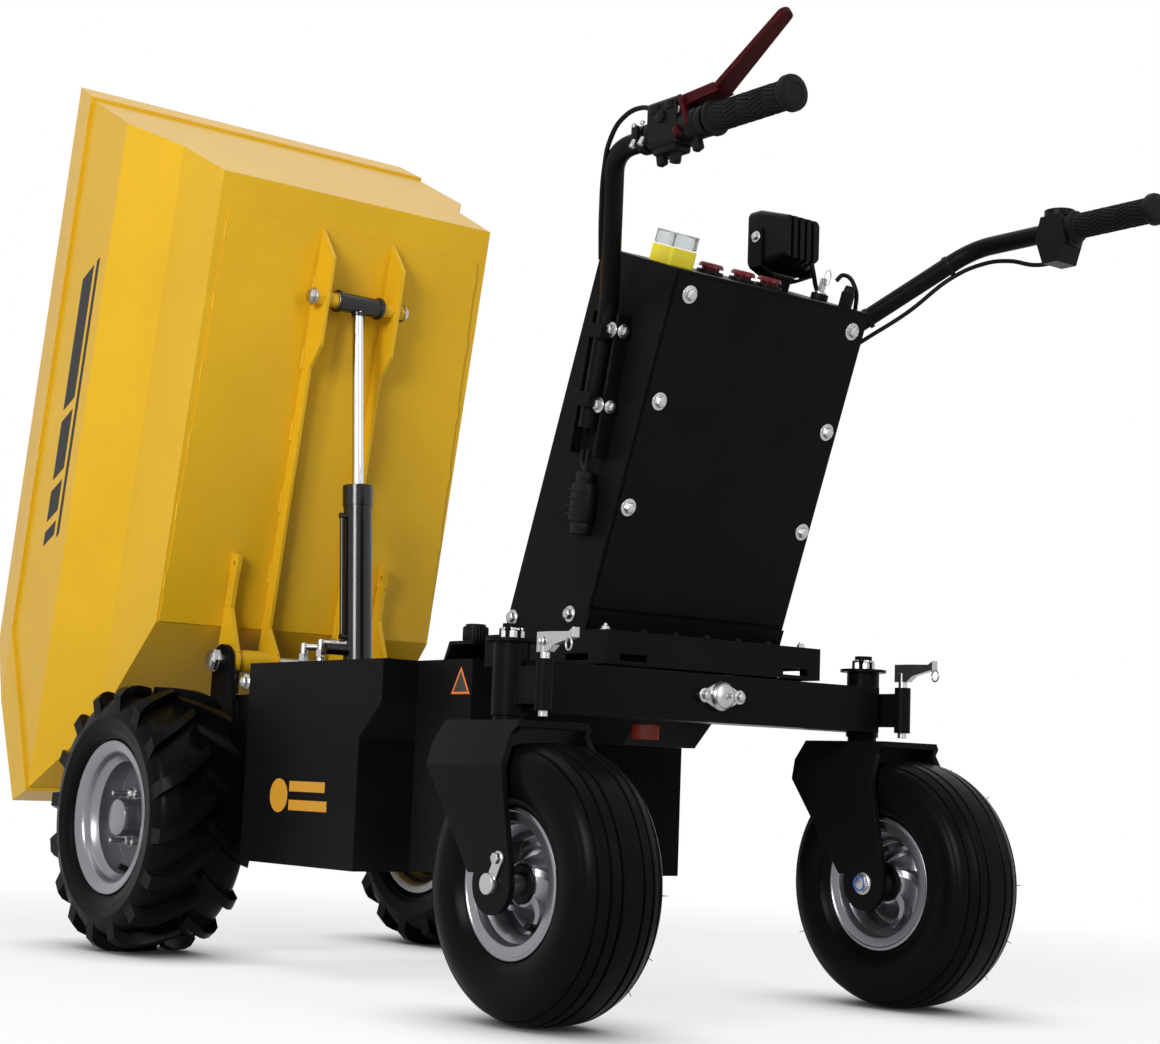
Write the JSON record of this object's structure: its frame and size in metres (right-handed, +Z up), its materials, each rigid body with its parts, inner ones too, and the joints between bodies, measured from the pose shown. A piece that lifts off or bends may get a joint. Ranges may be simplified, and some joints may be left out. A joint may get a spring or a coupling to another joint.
{
  "type": "site dumper",
  "caption": "Battery-electric walk-behind site dumper with a forward-tipping steel skip, drive wheels in front, swivel casters behind, and a leaning control console.",
  "frame": {"origin": "on the ground, at the middle of the machine's length and width with the skip raised", "axes": "+X forward (the way it travels and tips), +Y the operator's left, +Z up"},
  "size_m": [1.9552, 0.7892, 1.4558],
  "materials": {
    "black_sheet": "black powder coat, satin",
    "black_frame": "black powder coat on thick steel, satin",
    "skip_paint": "yellow powder coat, semi-gloss",
    "zinc": "zinc plated steel",
    "hard_chrome": "polished hard chrome",
    "rim_silver": "silver painted steel rim",
    "tyre": "black rubber, satin",
    "grip_rubber": "moulded soft grip",
    "black_plastic": "moulded black plastic",
    "lever_red": "deep red plastic",
    "cap_red": "dark red plastic",
    "guard_yellow": "bright yellow plastic",
    "clear_lid": "clear moulded lid",
    "battery_case": "plain battery case"
  },
  "bodies": {
    "chassis": {"chassis_tub": "black_sheet", "battery_block": "battery_case", "drive_axle": "black_frame", "hinge_brackets": "black_frame", "tip_shaft": "zinc", "ram_bracket": "black_frame", "tail_box": "black_sheet", "filler_bracket": "black_sheet", "filler_cap": "black_plastic", "neck": "black_frame", "tray": "black_sheet", "rear_beam": "black_frame", "pivot_bearing": "zinc", "lock_pins": "zinc", "console_base": "black_sheet", "console_housing": "black_sheet", "console_panel": "black_sheet", "switch_guard": "guard_yellow", "switch_lid": "clear_lid", "control_caps": "cap_red", "work_lamp": "black_plastic", "lamp_yoke": "black_frame", "handlebar_left": "black_frame", "handlebar_right": "black_frame", "grip_left": "grip_rubber", "grip_right": "grip_rubber", "bar_bracket_left": "black_frame", "bar_bracket_right": "black_frame", "brake_housing": "black_plastic", "brake_lever": "lever_red", "throttle_box": "black_plastic"},
    "skip": {"skip_shell": "skip_paint", "skip_rim": "skip_paint", "floor_doubler": "skip_paint", "skip_ribs": "skip_paint", "hinge_eyes": "skip_paint", "ram_bosses": "skip_paint"},
    "ram_barrel": {"ram_barrel": "black_frame"},
    "ram_rod": {"ram_rod": "hard_chrome"},
    "drive_wheel_left": {"drive_tyre_left": "tyre", "drive_rim_left": "rim_silver"},
    "drive_wheel_right": {"drive_tyre_right": "tyre", "drive_rim_right": "rim_silver"},
    "caster_left": {"caster_fork_left": "black_frame", "caster_bolt_left": "zinc"},
    "caster_wheel_left": {"caster_tyre_left": "tyre", "caster_rim_left": "rim_silver"},
    "caster_right": {"caster_fork_right": "black_frame", "caster_bolt_right": "zinc"},
    "caster_wheel_right": {"caster_tyre_right": "tyre", "caster_rim_right": "rim_silver"}
  },
  "joints": [
    {"name": "skip_tip", "type": "hinge", "parent": "chassis", "child": "skip", "pos_m": [0.49138, 0, 0.46], "axis": [0, 1, 0], "range_deg": [-79.1, 0]},
    {"name": "ram_swing", "type": "hinge", "parent": "chassis", "child": "ram_barrel", "pos_m": [0.32158, 0, 0.3152], "axis": [0, 1, 0], "range_deg": [-75.59, 0]},
    {"name": "ram_slide", "type": "slide", "parent": "ram_barrel", "child": "ram_rod", "axis": [0.0881, 0, 0.9961], "range_m": [-0.28223, 0]},
    {"name": "drive_spin_left", "type": "hinge", "parent": "chassis", "child": "drive_wheel_left", "pos_m": [0.46138, 0.289, 0.205], "axis": [0, 1, 0], "continuous": true},
    {"name": "drive_spin_right", "type": "hinge", "parent": "chassis", "child": "drive_wheel_right", "pos_m": [0.46138, -0.289, 0.205], "axis": [0, 1, 0], "continuous": true},
    {"name": "caster_swivel_left", "type": "hinge", "parent": "chassis", "child": "caster_left", "pos_m": [-0.49162, 0.3086, 0.4], "axis": [0, 0, 1], "continuous": true},
    {"name": "caster_spin_left", "type": "hinge", "parent": "caster_left", "child": "caster_wheel_left", "pos_m": [-0.57362, 0.3086, 0.165], "axis": [0, 1, 0], "continuous": true},
    {"name": "caster_swivel_right", "type": "hinge", "parent": "chassis", "child": "caster_right", "pos_m": [-0.49162, -0.3086, 0.4], "axis": [0, 0, 1], "continuous": true},
    {"name": "caster_spin_right", "type": "hinge", "parent": "caster_right", "child": "caster_wheel_right", "pos_m": [-0.57362, -0.3086, 0.165], "axis": [0, 1, 0], "continuous": true}
  ],
  "couplings": [
    {"joint": "ram_swing", "follows": "skip_tip", "ratio": 0.95433},
    {"joint": "ram_slide", "follows": "skip_tip", "m_per_rad": 0.20407}
  ]
}
